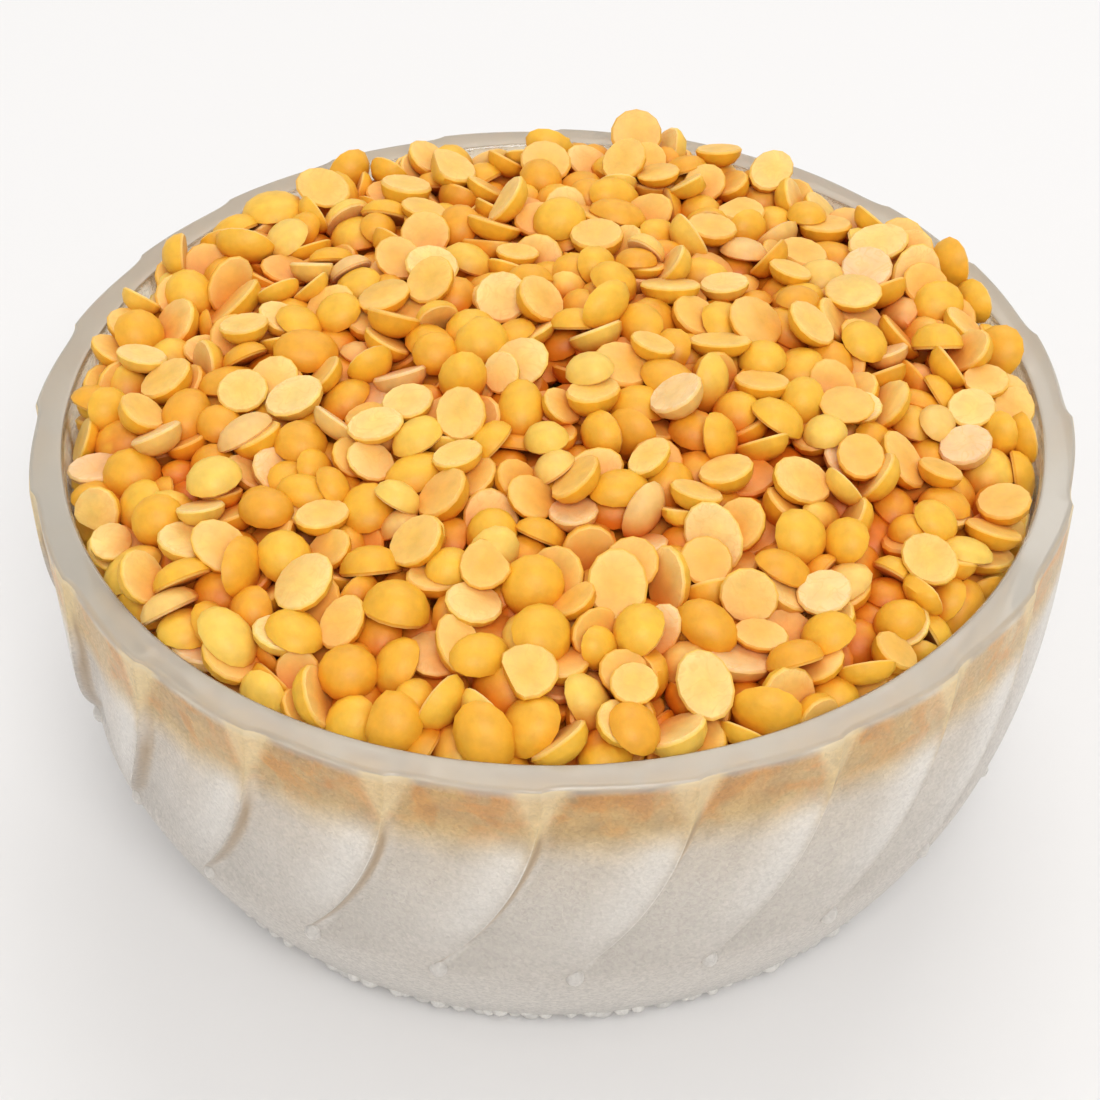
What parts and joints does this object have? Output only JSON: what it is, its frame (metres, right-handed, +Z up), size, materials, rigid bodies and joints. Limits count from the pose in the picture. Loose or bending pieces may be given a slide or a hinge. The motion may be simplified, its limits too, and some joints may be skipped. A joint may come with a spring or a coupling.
{
  "type": "glass bowl of dry split lentils",
  "caption": "Small round pressed-glass bowl with swirling flutes and a plain foot, filled above its rim with a heap of dry split yellow lentils.",
  "frame": {"origin": "centre of the bowl's underside, on the surface it stands on", "axes": "+Z up along the bowl's axis; -Y is the side seen in front, where one ridge of the flutes meets the rim"},
  "size_m": [0.105, 0.105, 0.0511],
  "materials": {
    "bowl": "milky stippled pressed glass with a clear rim",
    "lentils": "dry split lentils, matt golden yellow"
  },
  "bodies": {
    "root": {"bowl": "bowl", "lentils": "lentils"}
  },
  "joints": []
}
